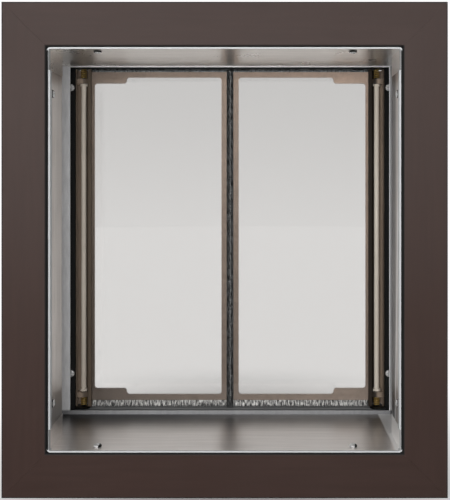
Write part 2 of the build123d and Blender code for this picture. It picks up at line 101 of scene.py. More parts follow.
def grain(tree, place, stretch, fineness, low=0.0, high=1.0):
    """Places the grain group in a material and returns its value."""
    made = tree.nodes.new("ShaderNodeGroup")
    made.node_tree = drawn_grain
    tree.links.new(place, made.inputs["Place"])
    made.inputs["Stretch"].default_value = stretch
    made.inputs["Fineness"].default_value = fineness
    made.inputs["Low"].default_value = low
    made.inputs["High"].default_value = high
    return made.outputs["Value"]


EVEN = (1, 1, 1)


def between(tree, share, dark, light):
    """Colour between two tones by a share from 0 to 1."""
    mix = tree.nodes.new("ShaderNodeMix")
    mix.data_type = "RGBA"
    mix.inputs[6].default_value = (*dark, 1)
    mix.inputs[7].default_value = (*light, 1)
    tree.links.new(share, mix.inputs[0])
    return mix.outputs[2]


def mottle(tree, shader, place, stretch, fineness, dark, light):
    """Base colour between two tones, by grain."""
    tone = between(tree, grain(tree, place, stretch, fineness), dark, light)
    tree.links.new(tone, shader.inputs["Base Color"])


def polish(tree, shader, place, fineness, low, high):
    """Roughness between two values, by even grain."""
    tree.links.new(grain(tree, place, EVEN, fineness, low, high), shader.inputs["Roughness"])


TOOTH = 0.03 * MM


def relief(tree, shader, height, strength):
    """Feeds a height to the shader's normal as a bump as deep as the surface's fine tooth."""
    bump = tree.nodes.new("ShaderNodeBump")
    bump.inputs["Distance"].default_value = TOOTH
    bump.inputs["Strength"].default_value = strength
    tree.links.new(height, bump.inputs["Height"])
    tree.links.new(bump.outputs["Normal"], shader.inputs["Normal"])


def ramp(tree, value, start, end, low, high):
    """Smooth change between two values while another goes from start to end."""
    step = tree.nodes.new("ShaderNodeMapRange")
    step.interpolation_type = "SMOOTHSTEP"
    for label, number in (("From Min", start), ("From Max", end), ("To Min", low), ("To Max", high)):
        step.inputs[label].default_value = number
    tree.links.new(value, step.inputs["Value"])
    return step.outputs["Result"]


def axes_of(tree, place):
    """The X, Y and Z of a place or direction, as outputs with those names."""
    split = tree.nodes.new("ShaderNodeSeparateXYZ")
    tree.links.new(place, split.inputs[0])
    return split.outputs


def step_along(tree, place, axis, start, end, low, high):
    """Smooth change of a value along one axis, between two places in metres."""
    return ramp(tree, axes_of(tree, place)[axis], start, end, low, high)


def tint(tree, kind, share, base, other):
    """Mixes or multiplies two colours by a share from 0 to 1; each may be a socket or a written value."""
    mix = tree.nodes.new("ShaderNodeMix")
    mix.data_type = "RGBA"
    mix.blend_type = kind
    for socket, source in ((mix.inputs[0], share), (mix.inputs[6], base), (mix.inputs[7], other)):
        if isinstance(source, tuple):
            socket.default_value = (*source, 1)
        elif isinstance(source, float):
            socket.default_value = source
        else:
            tree.links.new(source, socket)
    return mix.outputs[2]


def dress(material, *names):
    """Gives CAD nodes a material through their slots."""
    for name in names:
        for slot in node[name].material_slots:
            slot.material = material


def reckon(tree, kind, *values):
    """One sum on sockets or numbers."""
    made = tree.nodes.new("ShaderNodeMath")
    made.operation = kind
    for socket, value in zip(made.inputs, values):
        if isinstance(value, float):
            socket.default_value = value
        else:
            tree.links.new(value, socket)
    return made.outputs[0]


BRONZE_DARK = (0.035, 0.0178, 0.0137)
BRONZE_LIGHT = (0.042, 0.0218, 0.017)
EDGE_SHADE = (0.006, 0.006, 0.006)
OPENING_X, OPENING_Z, MIDDLE_Z = 177.8 * MM, 202.8 * MM, 248.0 * MM
TRIM_WIDE = 45.2 * MM
INNER_EDGE = (0.8 * MM, 2.8 * MM)
OUTER_EDGE = (TRIM_WIDE - 2.0 * MM, TRIM_WIDE - 0.6 * MM)
IN_WALL = (54.0 * MM, 58.0 * MM)


def from_opening(tree, place):
    """Distance of a place outside the trim's square opening, in metres, on the nearest side."""
    at = axes_of(tree, place)
    out_x = reckon(tree, "SUBTRACT", reckon(tree, "ABSOLUTE", at["X"]), OPENING_X)
    up = reckon(tree, "SUBTRACT", at["Z"], MIDDLE_Z)
    out_z = reckon(tree, "SUBTRACT", reckon(tree, "ABSOLUTE", up), OPENING_Z)
    return reckon(tree, "MAXIMUM", out_x, out_z)


def bronze(name, stretch, dark, light):
    """Satin anodising with drawing lines along the rail; its edges and what lies inside the wall are painted
    near black as shade.
    """
    material, tree, shader, place = finish(name, 0.0, 0.42)
    lines = grain(tree, place, stretch, 240.0)
    out = from_opening(tree, place)
    # Painted shade: the rounded inner and outer edges, and the parts inside the wall, are mixed towards near
    # black.
    inner_shade = ramp(tree, out, *INNER_EDGE, 1.0, 0.0)
    edge = reckon(tree, "MAXIMUM", inner_shade, ramp(tree, out, *OUTER_EDGE, 0.0, 0.8))
    depth = reckon(tree, "ABSOLUTE", axes_of(tree, place)["Y"])
    edge = reckon(tree, "MAXIMUM", edge, ramp(tree, depth, *IN_WALL, 1.0, 0.0))
    tone = tint(tree, "MIX", edge, between(tree, lines, dark, light), EDGE_SHADE)
    tree.links.new(tone, shader.inputs["Base Color"])
    shader.inputs["Specular IOR Level"].default_value = 0.95
    satin = grain(tree, place, EVEN, 14.0, 0.32, 0.42)
    rough = reckon(tree, "ADD", satin, reckon(tree, "MULTIPLY", edge, 0.4))
    tree.links.new(rough, shader.inputs["Roughness"])
    relief(tree, shader, grain(tree, place, EVEN, 1500.0), 0.35)
    return material


ACROSS = (0.06, 1.0, 1.0)
UPRIGHT = (1.0, 1.0, 0.06)
dress(bronze("bronze_across", ACROSS, BRONZE_DARK, BRONZE_LIGHT), "front_rail_top", "front_rail_bottom")
dress(bronze("bronze_upright", UPRIGHT, BRONZE_DARK, BRONZE_LIGHT), "front_rail_left", "front_rail_right")


# Rear trim: the same bronze rails on the wall's other face; their flange, which the leaves close beside, is
# painted near black as shade inside the wall.
# Bars at sill and head bring the opening to the leaves' height: the head bar is black, the sill bare metal.
BLACK_DARK = (0.012, 0.0125, 0.012)
BLACK_LIGHT = (0.018, 0.0185, 0.018)
dress(bronze("rear_across", ACROSS, BRONZE_DARK, BRONZE_LIGHT), "rear_rail_top", "rear_rail_bottom")
dress(bronze("rear_upright", UPRIGHT, BRONZE_DARK, BRONZE_LIGHT), "rear_rail_left", "rear_rail_right")
dress(bronze("black_across", ACROSS, BLACK_DARK, BLACK_LIGHT), "head_bar")
sill, tree, shader, place = finish("bare_sill", 0.3, 0.5)
mottle(tree, shader, place, ACROSS, 260.0, (0.12, 0.12, 0.118), (0.18, 0.18, 0.178))
polish(tree, shader, place, 80.0, 0.42, 0.58)
dress(sill, "sill_bar")


# Sealant and painted shade: black sealant, drawn as a film into each front mitre, and a black strip down each
# side of the sleeve as painted shade.
# The film fills the hairline between two rails; the strip lies on the side sheet's hem, against the trim's edge,
# where the hem is in shadow.
def ring_quads(rings, sides):
    """Quads between neighbouring rings of a closed grid, in the order ring, ring, next, next."""
    row = np.arange(rings - 1)[:, None] * sides
    col = np.arange(sides)[None, :]
    nxt = (col + 1) % sides
    return np.stack([row + col, row + nxt, row + sides + nxt, row + sides + col], -1).reshape(-1, 4)


RIBBON_STEP, RIBBON_SIDES, RIBBON_POWER = 1.5 * MM, 12, 0.35


def ribbon(length, wide, thick):
    """Flat strip with rounded edges: a grid wrapped round an oblong section, drawn to a point at both ends.

    Axes of the strip: along its length, across its width and up through its thickness. The section is a
    circle's cosine and sine, each raised to a power well below one, so its sides are flat and its corners round.
    """
    u = np.linspace(0, 1, int(length / RIBBON_STEP) + 2)
    b = np.arange(RIBBON_SIDES) * (2 * math.pi / RIBBON_SIDES)
    c = np.sign(np.cos(b)) * np.abs(np.cos(b)) ** RIBBON_POWER
    d = np.sign(np.sin(b)) * np.abs(np.sin(b)) ** RIBBON_POWER
    end = np.where((u == 0) | (u == 1), 0.0, 1.0)[:, None]
    x = u[:, None] * length + 0 * end * b[None, :]
    y = 0.5 * wide * c[None, :] * end
    z = 0.5 * thick + 0.5 * thick * d[None, :] * end
    return np.stack([x, y, z], -1).reshape(-1, 3), ring_quads(len(u), RIBBON_SIDES)


MERGE = 1e-7


def add_piece(name, points, faces, material, body, slot):
    """Makes a mesh object at the origin from arrays, with closed seams and poles, that rides on a body."""
    mesh = bpy.data.meshes.new(name)
    mesh.from_pydata(points.tolist(), [], faces.tolist())
    bm = bmesh.new()
    bm.from_mesh(mesh)
    bmesh.ops.remove_doubles(bm, verts=bm.verts, dist=MERGE)
    bmesh.ops.recalc_face_normals(bm, faces=bm.faces)
    bm.to_mesh(mesh)
    bm.free()
    mesh.polygons.foreach_set("use_smooth", np.full(len(mesh.polygons), True))
    mesh.materials.append(material)
    piece = bpy.data.objects.new(name, mesh)
    bpy.context.scene.collection.objects.link(piece)
    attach(piece, body)
    return piece


seal, tree, shader, place = finish("black_sealant_and_shade", 0.0, 0.5)
mottle(tree, shader, place, EVEN, 300.0, (0.008, 0.008, 0.008), (0.016, 0.016, 0.016))
FILM_WIDE, FILM_THICK = 1.9 * MM, 0.06 * MM
FILM_FROM, FILM_TO, FILM_Y = 1.5 * MM, 43.0 * MM, -70.55 * MM
HALF_WIDE, HALF_TALL = 223.0 * MM, 248.0 * MM
film, film_quads = ribbon((FILM_TO - FILM_FROM) * math.sqrt(2), FILM_WIDE, FILM_THICK)
along, across, up = film.T
inset = FILM_FROM + (along + up - 0.5 * FILM_THICK) / math.sqrt(2)
outset = FILM_FROM + (along - up + 0.5 * FILM_THICK) / math.sqrt(2)
films = [
    np.stack([sx * (HALF_WIDE - inset), FILM_Y + across, MIDDLE_Z + sz * (HALF_TALL - outset)], -1)
    for sx in (-1, 1) for sz in (-1, 1)
]
film_faces = np.concatenate([film_quads + k * len(film) for k in range(len(films))])
add_piece("mitre_sealant", np.concatenate(films), film_faces, seal, "frame", "bronze_anodised")
# Painted shade: this black strip stands for the shadow on the hem's outer edge.
BEAD_X, BEAD_Y, BEAD_WIDE, BEAD_THICK = 177.15 * MM, -70.25 * MM, 1.3 * MM, 0.65 * MM
BEAD_LOW, BEAD_HIGH = 47.5 * MM, 448.5 * MM
bead, bead_quads = ribbon(BEAD_HIGH - BEAD_LOW, BEAD_WIDE, BEAD_THICK)
along, across, up = bead.T
beads = [np.stack([sx * BEAD_X + across, BEAD_Y - up, BEAD_LOW + along], -1) for sx in (-1, 1)]
bead_faces = np.concatenate([bead_quads, bead_quads + len(bead)])
add_piece("side_shade_strip", np.concatenate(beads), bead_faces, seal, "frame", "bronze_anodised")


# Corner keys: flat aluminium angles, sheared from mill strip, that lie in the slots behind the mitres.
# The nut plates behind the rear flange are of the same strip; all keep its dull rolled surface.
mill, tree, shader, place = finish("mill_strip", 1.0, 0.45)
mottle(tree, shader, place, (1, 1, 0.1), 300.0, (0.42, 0.42, 0.42), (0.6, 0.6, 0.6))
polish(tree, shader, place, 90.0, 0.38, 0.55)
dress(mill, "front_corner_keys", "rear_corner_keys", "jamb_nut_plates")


# Sleeve: floor and ceiling trays, side sheets and pocket liners of bright rolled aluminium 1.6 mm thick.
# The sheet is half a mirror: fine rolling lines stretch its reflections, handling leaves it faintly cloudy,
# and the front edges and hems are rubbed to a matte white. Far ends of the floor, side sheets and liners are
# painted darker as shade and dark reflection, and the right-hand bends and a slanting line on the right side
# sheet are painted pale as highlights.
SHEET_DARK = (0.60, 0.56, 0.53)
SHEET_LIGHT = (0.75, 0.70, 0.665)
RUBBED = (0.55, 0.56, 0.57)
PAINTED_GLINT = (0.95, 0.94, 0.93)
TRAY_HEM, SIDE_HEM = -68.8 * MM, -64.0 * MM
HEM_SOFT = 0.4 * MM
UPRIGHT_END = (174.2 * MM, 174.8 * MM)
BEND = (170.0 * MM, 172.5 * MM)
LEFT_TO_RIGHT = (-120.0 * MM, 120.0 * MM)
GLINT_Y, GLINT_SLANT, GLINT_HALF = -52.0 * MM, 0.064, (1.0 * MM, 3.2 * MM)
GLINT_SIDE = (0.0, 100.0 * MM)
BRIGHT_METAL, MATTE_METAL = 0.84, 0.1


def bright_sheet(name, stretch, tones, cloud, rolled, hem, dull, depth, sides=(1.0, 1.0), bend=0.0, side_glint=0.0):
    """Bright rolled sheet: lines along one direction, rougher clouds, a rubbed front hem and a far end painted
    darker as shade.

    The dull tone is painted shade and dark reflection, coming in between two depths, and sides gives how much of
    it there is left and right. The hem is rubbed further back on the upright ends. Bend and side_glint say how
    far the right-hand bend, and a slanting line down the right side, are painted pale as highlights.
    """
    material, tree, shader, place = finish(name, 1.0, 0.2)
    at = axes_of(tree, place)
    metal = between(tree, grain(tree, place, stretch, 420.0), *tones)
    # Painted shade and dark reflection: the far end, more on one side than the other, is multiplied towards the
    # dull tone.
    share = ramp(tree, at["Y"], *depth, 0.0, 1.0)
    share = reckon(tree, "MULTIPLY", share, ramp(tree, at["X"], *LEFT_TO_RIGHT, *sides))
    metal = tint(tree, "MULTIPLY", share, metal, dull)
    upright = ramp(tree, reckon(tree, "ABSOLUTE", at["X"]), *UPRIGHT_END, 0.0, SIDE_HEM - hem)
    behind_lip = reckon(tree, "SUBTRACT", at["Y"], upright)
    rubbed = ramp(tree, behind_lip, hem - HEM_SOFT, hem + HEM_SOFT, 1.0, 0.0)
    # Painted highlights: a slanting line down the right side and the right-hand bend are mixed towards pale.
    slant = reckon(tree, "MULTIPLY", reckon(tree, "SUBTRACT", at["Z"], MIDDLE_Z), GLINT_SLANT)
    from_line = reckon(tree, "SUBTRACT", reckon(tree, "ADD", at["Y"], slant), GLINT_Y)
    line = ramp(tree, reckon(tree, "ABSOLUTE", from_line), *GLINT_HALF, side_glint, 0.0)
    line = reckon(tree, "MULTIPLY", line, ramp(tree, at["X"], *GLINT_SIDE, 0.0, 1.0))
    glint = reckon(tree, "MAXIMUM", line, ramp(tree, at["X"], *BEND, 0.0, bend))
    metal = tint(tree, "MIX", glint, metal, PAINTED_GLINT)
    tree.links.new(tint(tree, "MIX", rubbed, metal, RUBBED), shader.inputs["Base Color"])
    matte = reckon(tree, "MAXIMUM", rubbed, reckon(tree, "MULTIPLY", glint, 0.75))
    tree.links.new(ramp(tree, matte, 0.0, 1.0, BRIGHT_METAL, MATTE_METAL), shader.inputs["Metallic"])
    polish(tree, shader, place, 22.0, *cloud)
    relief(tree, shader, grain(tree, place, stretch, 5000.0), rolled)
    return material


LENGTHWAYS = (0.03, 1.0, 1.0)
UPWARDS = (1.0, 1.0, 0.03)
SIDE_DEPTH = (-52.0 * MM, -36.0 * MM)
floor_sheet = bright_sheet(
    "sheet_floor", LENGTHWAYS, tones=((0.84, 0.80, 0.77), (0.97, 0.92, 0.89)), cloud=(0.30, 0.38), rolled=0.5,
    hem=TRAY_HEM, dull=(0.08, 0.08, 0.085), depth=(-25.0 * MM, 35.0 * MM), sides=(1.0, 0.65), bend=0.9,
)
ceiling_sheet = bright_sheet(
    "sheet_ceiling", LENGTHWAYS, tones=((0.74, 0.70, 0.66), (0.90, 0.85, 0.80)), cloud=(0.26, 0.34), rolled=1.0,
    hem=TRAY_HEM, dull=(1.0, 1.0, 1.0), depth=(0.0, 30.0 * MM), bend=0.5,
)
side_sheet = bright_sheet(
    "sheet_upright", UPWARDS, tones=(SHEET_DARK, SHEET_LIGHT), cloud=(0.30, 0.40), rolled=0.5,
    hem=SIDE_HEM, dull=(0.25, 0.26, 0.27), depth=SIDE_DEPTH, sides=(0.1, 1.0), side_glint=0.9,
)
liner_sheet = bright_sheet(
    "sheet_liner", UPWARDS, tones=(SHEET_DARK, SHEET_LIGHT), cloud=(0.30, 0.40), rolled=0.5,
    hem=SIDE_HEM, dull=(0.5, 0.51, 0.52), depth=SIDE_DEPTH,
)
dress(floor_sheet, "sleeve_floor")
dress(ceiling_sheet, "sleeve_ceiling")
dress(side_sheet, "sleeve_side_left", "sleeve_side_right")
dress(liner_sheet, "pocket_liner_left", "pocket_liner_right")


# Ring: pale aluminium angle sections, mitred at the corners, that take the sleeve's end and frame the leaves.
# They are satin, not bright, and show as a pale grey line, painted darker as shade along the foot and at the
# right end, all but its inner edge.
RING_FOOT = (50.0 * MM, 53.0 * MM)
RING_RIGHT = (185.2 * MM, 185.9 * MM)
satin, tree, shader, place = finish("satin_aluminium", 0.15, 0.4)
tone = between(tree, grain(tree, place, (1, 1, 0.2), 260.0), (0.80, 0.80, 0.81), (0.96, 0.96, 0.97))
# Painted shade: the foot and the right end, short of its inner edge, are multiplied darker.
foot_shade = step_along(tree, place, "Z", *RING_FOOT, 1.0, 0.0)
tone = tint(tree, "MULTIPLY", foot_shade, tone, (0.30, 0.30, 0.305))
right_shade = step_along(tree, place, "X", *RING_RIGHT, 0.0, 1.0)
tone = tint(tree, "MULTIPLY", right_shade, tone, (0.355, 0.355, 0.355))
tree.links.new(tone, shader.inputs["Base Color"])
polish(tree, shader, place, 60.0, 0.34, 0.5)
dress(satin, "ring_top", "ring_bottom", "ring_left", "ring_right")


# Screws: zinc-plated pan heads with a cross recess, eight through the sleeve and four in the rear flange.
# Each stands where its CAD screw does, on the sheet or flange it clamps.
SCREW_HEAD_R = 4.1 * MM
SCREW_HEAD_H = 2.6 * MM
SCREW_SHANK_R = 2.0 * MM
SCREW_L = 8.0 * MM
HEAD_FOOT = 0.35 * MM
RECESS_BAR, RECESS_DEEP = 0.55 * MM, 1.35 * MM
RECESS_REACH = 0.62 * SCREW_HEAD_R


def polar_grid(radii, sides):
    """Radius and angle on a grid of rings and spokes, each ring closed on itself."""
    angle = np.arange(sides) * (2 * math.pi / sides)
    return np.meshgrid(radii, angle, indexing="ij")


def pan_head_screw(sides=40):
    """Head and shank as one turned grid: down the shank, out under the head, up its edge and over the dome.

    The dome is a quarter of an ellipse, turned, on a low rim; inside the cross, two crossed bars with soft
    edges, it sinks to the recess depth, which shrinks to nothing at the bars' ends.
    """
    dome_r = np.linspace(SCREW_HEAD_R * 0.985, 0.0, 26)
    shank_r = [0.0, SCREW_SHANK_R * 0.7, SCREW_SHANK_R, SCREW_SHANK_R]
    radii = np.concatenate([shank_r, [SCREW_HEAD_R * 0.94, SCREW_HEAD_R], dome_r])
    base = np.array([-SCREW_L, -SCREW_L, -SCREW_L * 0.92, 0.0, 0.0, HEAD_FOOT])
    dome = SCREW_HEAD_H * (0.36 + 0.64 * np.sqrt(np.clip(1 - (dome_r / SCREW_HEAD_R) ** 2, 0, 1)))
    r, a = polar_grid(radii, sides)
    x, y = r * np.cos(a), r * np.sin(a)
    z = np.concatenate([base, dome])[:, None] + 0 * r
    narrow = np.minimum(np.abs(x), np.abs(y))
    reach = np.maximum(np.abs(x), np.abs(y)) / RECESS_REACH
    sunk = np.clip((RECESS_BAR * 1.25 - narrow) / (RECESS_BAR * 0.5), 0, 1) * np.clip((1 - reach) * 4, 0, 1)
    z[len(base):] -= RECESS_DEEP * sunk[len(base):]
    return np.stack([x, y, z], -1).reshape(-1, 3), ring_quads(len(radii), sides)


def repeat(points, quads, places):
    """Copies a pattern to places given as (origin, outward direction), by an array of turning matrices."""
    origin = np.array([p[0] for p in places], float)
    out = np.array([p[1] for p in places], float)
    side = np.where(np.abs(out[:, 2:3]) > 0.9, [[1.0, 0, 0]], [[0, 0, 1.0]])
    other = np.cross(out, side)
    turn = np.stack([side, other, out], 1)
    all_points = np.einsum("pk,nkj->npj", points, turn) + origin[:, None, :]
    shift = (np.arange(len(places)) * len(points))[:, None, None]
    return all_points.reshape(-1, 3), (quads[None] + shift).reshape(-1, quads.shape[1])


zinc, tree, shader, place = finish("zinc_plate", 0.6, 0.28)
mottle(tree, shader, place, EVEN, 700.0, (0.72, 0.72, 0.72), (0.95, 0.95, 0.94))
polish(tree, shader, place, 300.0, 0.2, 0.36)
dark_zinc_and_shade, tree, shader, place = finish("dark_zinc_and_shade", 1.0, 0.4)
mottle(tree, shader, place, EVEN, 700.0, (0.03, 0.03, 0.03), (0.09, 0.09, 0.088))

SLEEVE_X, SLEEVE_FLOOR, SLEEVE_CEILING = 176.2 * MM, 46.8 * MM, 449.2 * MM
SCREW_X, SCREW_Y, SIDE_SCREW_Z = 130.0 * MM, -58.0 * MM, (90.5 * MM, 405.5 * MM)
JAMB_X, JAMB_Y, JAMB_Z = 185.3 * MM, 46.5 * MM, (92.2 * MM, 425.4 * MM)
sleeve_places = [
    ((s * SCREW_X, SCREW_Y, z), (0, 0, up))
    for s in (-1, 1) for z, up in ((SLEEVE_FLOOR, 1), (SLEEVE_CEILING, -1))
]
sleeve_places += [((s * SLEEVE_X, SCREW_Y, z), (-s, 0, 0)) for s in (-1, 1) for z in SIDE_SCREW_Z]
jamb_places = [((s * JAMB_X, JAMB_Y, z), (0, -1, 0)) for s in (-1, 1) for z in JAMB_Z]


def darken_flanks(screws, places):
    """Gives the steep edge of each head the dark material as painted shade and dark reflection, by the distance
    from the screw's axis.

    On the floor, only the right-hand side of each head keeps it, as a painted dark reflection.
    """
    mesh = screws.data
    mesh.materials.append(dark_zinc_and_shade)
    centre = np.zeros(len(mesh.polygons) * 3)
    mesh.polygons.foreach_get("center", centre)
    origin, out = (np.array([p[k] for p in places], float) for k in (0, 1))
    from_axis = centre.reshape(-1, 1, 3) - origin[None]
    along = (from_axis * out[None]).sum(-1, keepdims=True) * out[None]
    off = np.linalg.norm(from_axis - along, axis=-1).min(1) / SCREW_HEAD_R
    right = from_axis[np.arange(len(off)), np.abs(from_axis).sum(-1).argmin(1), 0] / SCREW_HEAD_R
    on_floor = centre[2::3] < SLEEVE_FLOOR + SCREW_L
    dark = np.where(on_floor, (off > 0.5) & (right > 0.35), off > 0.92)
    mesh.polygons.foreach_set("material_index", dark.astype(np.int32))


for name, places in (("sleeve_screws", sleeve_places), ("jamb_screws", jamb_places)):
    screws = add_piece("pan_" + name, *repeat(*pan_head_screw(), places), zinc, "frame", "fastener_steel")
    if name == "sleeve_screws":
        darken_flanks(screws, places)
    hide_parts(name)


# Rivets: low zinc-plated heads on the outside that hold the ring, the pocket liners and the trays together.
# The pivot plates at head and sill, with their pins, are pressed from darker plated steel.
dress(zinc, "sleeve_rivets")
dress(dark_zinc_and_shade, "pivot_top_left", "pivot_top_right", "pivot_bottom_left", "pivot_bottom_right")


# Hinge springs: coils of drawn brass wire round the pivot pins, which bring each leaf back to closed.
# Five turns stand between the pivot plate and the barrel's bridge at each end of each hinge.
HINGE_X, HINGE_Y = 171.5 * MM, 50.0 * MM
WIRE_R = 0.75 * MM
COIL_R = 2.9 * MM
COIL_TURNS = 5


def coil(low, high, steps=36, sides=10):
    """Wire along a helix: centre on a circle that climbs evenly, section a circle square to the path."""
    t = np.linspace(0, 1, COIL_TURNS * steps + 1)
    a = 2 * math.pi * COIL_TURNS * t
    climb = (high - low - 2 * WIRE_R) / (2 * math.pi * COIL_TURNS)
    centre = np.stack([COIL_R * np.cos(a), COIL_R * np.sin(a), low + WIRE_R + climb * a], -1)
    along = np.stack([-COIL_R * np.sin(a), COIL_R * np.cos(a), climb + 0 * a], -1)
    along /= np.linalg.norm(along, axis=1)[:, None]
    out = np.stack([np.cos(a), np.sin(a), 0 * a], -1)
    up = np.cross(along, out)
    b = (np.arange(sides) * 2 * math.pi / sides)[None, :, None]
    wire_r = np.where((t == 0) | (t == 1), 0.0, 1.0)[:, None, None] * WIRE_R
    tube = centre[:, None, :] + wire_r * (np.cos(b) * out[:, None, :] + np.sin(b) * up[:, None, :])
    return tube.reshape(-1, 3), ring_quads(len(t), sides)


brass, tree, shader, place = finish("brass_wire", 0.7, 0.3)
mottle(tree, shader, place, EVEN, 500.0, (0.44, 0.28, 0.08), (0.72, 0.51, 0.19))
polish(tree, shader, place, 900.0, 0.22, 0.4)
for side, s in (("left", -1), ("right", 1)):
    for end in ("top", "bottom"):
        low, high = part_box(f"spring_{end}_{side}")
        points, quads = coil(low[2], high[2])
        points = points + (s * HINGE_X, HINGE_Y, 0)
        wire = add_piece(f"coil_{end}_{side}", points, quads, brass, "frame", "spring_brass")
        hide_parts(f"spring_{end}_{side}")


# Hinge barrels: brown moulded stiles that grip the leaf's edge, open in front between their bridges.
# The moulding is satin, with a fine even grain; the side that grips the leaf is painted darker as shade, most on
# the right-hand hinge.
GRIP_SIDE = (-3.0 * MM, 1.0 * MM)
LEFT_OR_RIGHT = (-50.0 * MM, 50.0 * MM)
brown, tree, shader, place = finish("brown_moulding", 0.0, 0.45)
tone = between(tree, grain(tree, place, (1, 1, 0.15), 160.0), (0.23, 0.175, 0.135), (0.33, 0.255, 0.195))
outward = reckon(tree, "SUBTRACT", reckon(tree, "ABSOLUTE", axes_of(tree, place)["X"]), HINGE_X)
on_right = step_along(tree, place, "X", *LEFT_OR_RIGHT, 0.0, 1.0)
# Painted shade: the gripping side is multiplied darker, far more on the right-hand hinge.
shade = between(tree, on_right, (0.34, 0.33, 0.31), (0.07, 0.065, 0.06))
tone = tint(tree, "MULTIPLY", ramp(tree, outward, *GRIP_SIDE, 1.0, 0.0), tone, shade)
tree.links.new(tone, shader.inputs["Base Color"])
polish(tree, shader, place, 400.0, 0.38, 0.52)
relief(tree, shader, grain(tree, place, EVEN, 1800.0), 0.3)
dress(brown, "barrel_left", "barrel_right")


# Hinge rods: ivory nylon rods with wide ends, held between the bridges and bored to run on the pins.
# Nylon is waxy, so they have a soft gloss and faint lines along them.
ivory, tree, shader, place = finish("ivory_nylon", 0.0, 0.35)
mottle(tree, shader, place, (1, 1, 0.05), 200.0, (0.55, 0.485, 0.41), (0.68, 0.615, 0.53))
polish(tree, shader, place, 250.0, 0.28, 0.42)
dress(ivory, "rod_left", "rod_right")


# Leaf panes: clear acrylic sheets with a faint grey tint, polished and chamfered, cemented to the spacer.
# Both sheets together let about two thirds of the light through.
clear, tree, shader, place = finish("grey_acrylic", 0.0, 0.02, (0.880, 0.872, 0.864))
shader.inputs["Transmission Weight"].default_value = 1.0
shader.inputs["IOR"].default_value = 1.49
polish(tree, shader, place, 30.0, 0.01, 0.03)
path = tree.nodes.new("ShaderNodeLightPath")
through = tree.nodes.new("ShaderNodeBsdfTransparent")
through.inputs["Color"].default_value = (0.82, 0.81, 0.80, 1)
panes = tree.nodes.new("ShaderNodeMixShader")
tree.links.new(path.outputs["Is Shadow Ray"], panes.inputs[0])
tree.links.new(shader.outputs[0], panes.inputs[1])
tree.links.new(through.outputs[0], panes.inputs[2])
tree.links.new(panes.outputs[0], tree.nodes["Material Output"].inputs["Surface"])
dress(clear, "pane_front_left", "pane_front_right", "pane_rear_left", "pane_rear_right")


# Spacers: tan plastic frames between the panes, with long blocks in the hinge-side corners.
# They are moulded matte and seen through the front pane, and are painted paler towards the top and the right as
# painted light.
LEAF_LOW_TO_HIGH = (60.0 * MM, 444.0 * MM)
LEAF_LEFT_TO_RIGHT = (-160.0 * MM, 160.0 * MM)
tan, tree, shader, place = finish("tan_plastic", 0.0, 0.55)
tone = between(tree, grain(tree, place, EVEN, 180.0), (0.46, 0.38, 0.325), (0.54, 0.45, 0.385))
# Painted light: the tone is multiplied up towards the top and the right.
upwards = step_along(tree, place, "Z", *LEAF_LOW_TO_HIGH, 0.55, 1.05)
paler = reckon(tree, "ADD", upwards, step_along(tree, place, "X", *LEAF_LEFT_TO_RIGHT, 0.0, 0.4))
tree.links.new(tint(tree, "MULTIPLY", 1.0, tone, paler), shader.inputs["Base Color"])
polish(tree, shader, place, 500.0, 0.48, 0.62)
dress(tan, "spacer_left", "spacer_right")


# Pile seals: woven strips of grey polypropylene fibre on the top, bottom and meeting edges of each leaf.
# Each strip has a flat backing, stuck to the panes' edges, and thousands of bristles of uneven height.
TUFT_WAVE, SLOW_WAVE = 900, 310
LEAN_ALONG, LEAN_ACROSS = 0.12, 0.05
FIBRE_R = (0.07, 0.13)


def bristles(count, length, tall, backing, wide, tip_wide, ragged, blunt, rng):
    """Spikes on a strip: three-sided, nearly even up to a share of their height, then drawn to a point.

    Axes of the strip: along its length, across its width and up from the backing. Roots are scattered evenly,
    the lean grows with the square of the height, and the heights follow waves along the strip. Ragged is the
    share of the height by which they differ, and blunt the share at which the point begins.
    """
    along = rng.uniform(0.0, length, count)
    across = rng.uniform(-0.5, 0.5, count)
    wave = 0.5 + 0.5 * np.sin(along * TUFT_WAVE + 2.0 * np.sin(along * SLOW_WAVE + across * 3))
    height = (tall - backing) * (1.0 - ragged * (0.6 * wave + 0.4 * rng.uniform(0, 1, count)))
    lean = np.stack([rng.normal(0, LEAN_ALONG, count), rng.normal(0, LEAN_ACROSS, count)], -1) * height[:, None]
    root = np.stack([along, across * wide, np.full(count, backing)], -1)
    squeeze = np.stack([0 * along, across * (tip_wide - wide), height], -1)
    thick = rng.uniform(*FIBRE_R, count) * MM
    turn = rng.uniform(0, 2 * math.pi, count)
    corner = turn[:, None] + np.arange(3)[None, :] * (2 * math.pi / 3)
    ring = np.stack([np.cos(corner), np.sin(corner), 0 * corner], -1) * thick[:, None, None]
    bend = np.concatenate([lean, np.zeros((count, 1))], 1)
    middle = root[:, None, :] + 0 * ring - [0, 0, 0.3 * backing]
    waist = (root + blunt * squeeze + blunt**2 * bend)[:, None, :] + 0.9 * ring
    point = (root + squeeze + bend)[:, None, :] + 0 * ring
    points = np.concatenate([middle, middle + ring, waist, point], 1)
    limits = np.array([[0, -wide / 2, 0], [length, wide / 2, tall]])
    points = np.clip(points, limits[0], limits[1])
    pattern = ring_quads(4, 3)
    shift = (np.arange(count) * points.shape[1])[:, None, None]
    return points.reshape(-1, 3), (pattern[None] + shift).reshape(-1, 4)


def pile_finish(name, dark, light):
    """Matte fibre, speckled between two greys at about the width of a tuft."""
    material, tree, shader, place = finish(name, 0.0, 0.8)
    tufts = ramp(tree, grain(tree, place, (1, 0.4, 0.25), 620.0), 0.25, 0.75, 0.0, 1.0)
    tree.links.new(between(tree, tufts, dark, light), shader.inputs["Base Color"])
    polish(tree, shader, place, 900.0, 0.65, 0.95)
    return material
